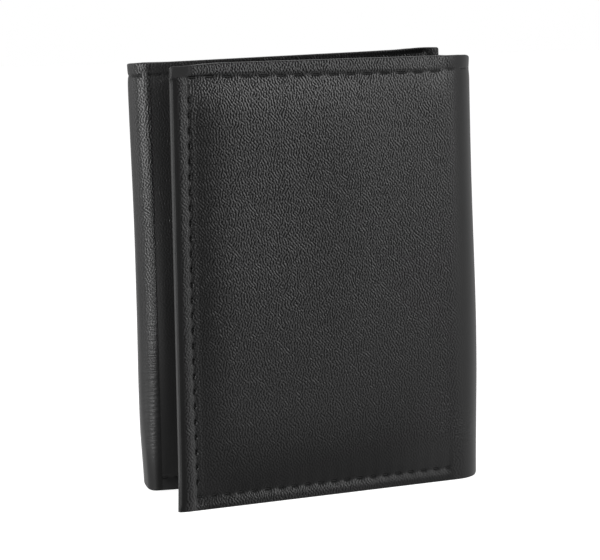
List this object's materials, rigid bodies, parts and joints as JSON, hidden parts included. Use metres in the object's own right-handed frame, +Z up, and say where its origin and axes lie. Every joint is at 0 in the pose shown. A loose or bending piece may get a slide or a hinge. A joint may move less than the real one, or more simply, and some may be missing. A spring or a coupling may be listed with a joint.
{
  "type": "trifold wallet",
  "caption": "Black pebbled leather trifold wallet standing on its short edge, with two folding flaps, card pockets, an identity window and a banknote slot.",
  "frame": {"origin": "on the ground under the middle of the standing wallet's bounding box", "axes": "+X to the viewer's right along the back panel, +Y to the back out of the back panel's outer face, +Z up along the folds"},
  "size_m": [0.0878, 0.0364, 0.1098],
  "materials": {
    "shell_leather": "fine pebbled black leather, satin",
    "pocket_leather": "smooth black leather, satin",
    "divider_leather": "split black leather, matt",
    "lining": "woven black lining",
    "thread": "black sewing thread",
    "clear_vinyl": "clear soft vinyl"
  },
  "bodies": {
    "back_panel": {"back_shell": "shell_leather", "back_lining": "lining", "back_divider": "divider_leather", "back_card_pocket_1": "pocket_leather", "back_card_pocket_2": "pocket_leather", "back_card_pocket_3": "pocket_leather", "back_top_thread": "thread", "back_bottom_thread": "thread"},
    "right_spine": {"right_fold_leather": "shell_leather", "right_fold_lining": "lining", "right_fold_divider": "divider_leather", "right_fold_thread": "thread"},
    "front_flap": {"front_shell": "shell_leather", "front_lining": "lining", "front_divider": "divider_leather", "front_card_pocket_1": "pocket_leather", "front_card_pocket_2": "pocket_leather", "front_card_pocket_3": "pocket_leather", "front_top_thread": "thread", "front_edge_thread": "thread", "front_bottom_thread": "thread"},
    "left_spine": {"left_fold_leather": "shell_leather", "left_fold_lining": "lining", "left_fold_divider": "divider_leather", "left_fold_thread": "thread"},
    "inner_flap": {"inner_shell": "shell_leather", "inner_lining": "lining", "inner_divider": "divider_leather", "id_window": "clear_vinyl", "id_frame": "pocket_leather", "inner_top_thread": "thread", "inner_edge_thread": "thread", "inner_bottom_thread": "thread"}
  },
  "joints": [
    {"name": "right_spine_fold", "type": "hinge", "parent": "back_panel", "child": "right_spine", "pos_m": [0.04034, 0.01591, 0], "axis": [0, 0, 1], "range_deg": [-3.33, 85.25], "deforming": ["right_fold_leather", "right_fold_lining", "right_fold_divider", "right_fold_thread"]},
    {"name": "front_flap_fold", "type": "hinge", "parent": "right_spine", "child": "front_flap", "pos_m": [0.04182, -0.00188, 0], "axis": [0, 0, 1], "range_deg": [-3.33, 85.25]},
    {"name": "left_spine_fold", "type": "hinge", "parent": "back_panel", "child": "left_spine", "pos_m": [-0.04258, 0.01727, 0], "axis": [0, 0, -1], "range_deg": [-1.25, 31.97], "deforming": ["left_fold_leather", "left_fold_lining", "left_fold_divider", "left_fold_thread"]},
    {"name": "inner_flap_fold", "type": "hinge", "parent": "left_spine", "child": "inner_flap", "pos_m": [-0.04273, 0.0103, 0], "axis": [0, 0, -1], "range_deg": [-1.25, 31.97]}
  ],
  "couplings": [
    {"joint": "front_flap_fold", "follows": "right_spine_fold", "ratio": 1},
    {"joint": "left_spine_fold", "follows": "right_spine_fold", "ratio": 0.375},
    {"joint": "inner_flap_fold", "follows": "right_spine_fold", "ratio": 0.375}
  ]
}
